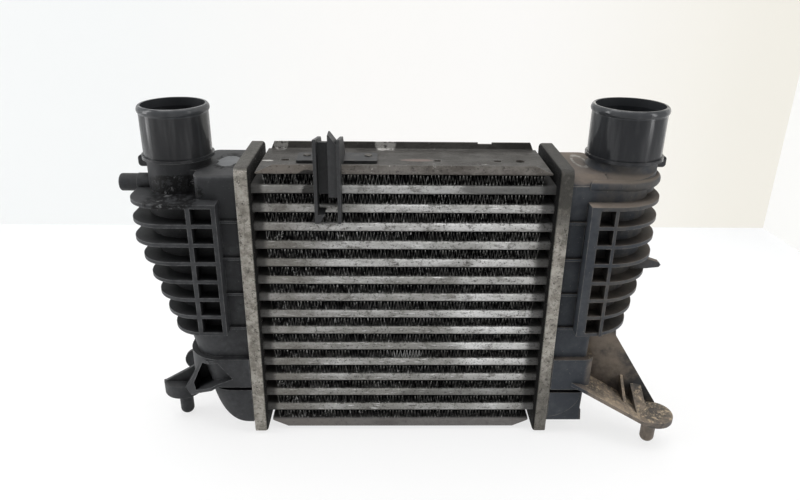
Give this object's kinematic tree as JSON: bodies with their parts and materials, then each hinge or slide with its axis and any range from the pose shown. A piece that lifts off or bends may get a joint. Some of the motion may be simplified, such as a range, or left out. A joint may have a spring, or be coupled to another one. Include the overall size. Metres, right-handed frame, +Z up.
{
  "type": "intercooler",
  "caption": "Compact air-to-air intercooler: a flat tube-and-fin core between two crimped, ribbed plastic end tanks with upright hose spigots, locating pins and a duct clip.",
  "frame": {"origin": "centre of the bounding box in plan, at the height of the lowest point, the locating pins' tips", "axes": "+X along the tubes, from the tank with the side pin to the tank with the long arm; +Y from the front face to the back; +Z up, the way the spigots point"},
  "size_m": [0.4096, 0.0966, 0.2517],
  "materials": {
    "tube": "mottled, corroded satin",
    "fin": "dark satin",
    "turbulator": "satin",
    "side_plate": "dirty, corroded satin",
    "header": "pitted satin",
    "gasket": "matt",
    "tank_left": "satin",
    "tank_right": "satin, dusty",
    "clip": "matt",
    "rivet": "satin"
  },
  "bodies": {
    "root": {"air_fin_01": "fin", "air_fin_02": "fin", "air_fin_03": "fin", "air_fin_04": "fin", "air_fin_05": "fin", "air_fin_06": "fin", "air_fin_07": "fin", "air_fin_08": "fin", "air_fin_09": "fin", "air_fin_10": "fin", "air_fin_11": "fin", "air_fin_12": "fin", "air_fin_13": "fin", "air_fin_14": "fin", "air_fin_15": "fin", "clip_rivets": "rivet", "core_tube_01": "tube", "core_tube_02": "tube", "core_tube_03": "tube", "core_tube_04": "tube", "core_tube_05": "tube", "core_tube_06": "tube", "core_tube_07": "tube", "core_tube_08": "tube", "core_tube_09": "tube", "core_tube_10": "tube", "core_tube_11": "tube", "core_tube_12": "tube", "core_tube_13": "tube", "core_tube_14": "tube", "duct_clip": "clip", "header_left": "header", "header_right": "header", "side_plate_bottom": "side_plate", "side_plate_top": "side_plate", "tank_gasket_left": "gasket", "tank_gasket_right": "gasket", "tank_left": "tank_left", "tank_right": "tank_right", "turbulator_01": "turbulator", "turbulator_02": "turbulator", "turbulator_03": "turbulator", "turbulator_04": "turbulator", "turbulator_05": "turbulator", "turbulator_06": "turbulator", "turbulator_07": "turbulator", "turbulator_08": "turbulator", "turbulator_09": "turbulator", "turbulator_10": "turbulator", "turbulator_11": "turbulator", "turbulator_12": "turbulator", "turbulator_13": "turbulator", "turbulator_14": "turbulator"}
  },
  "joints": []
}
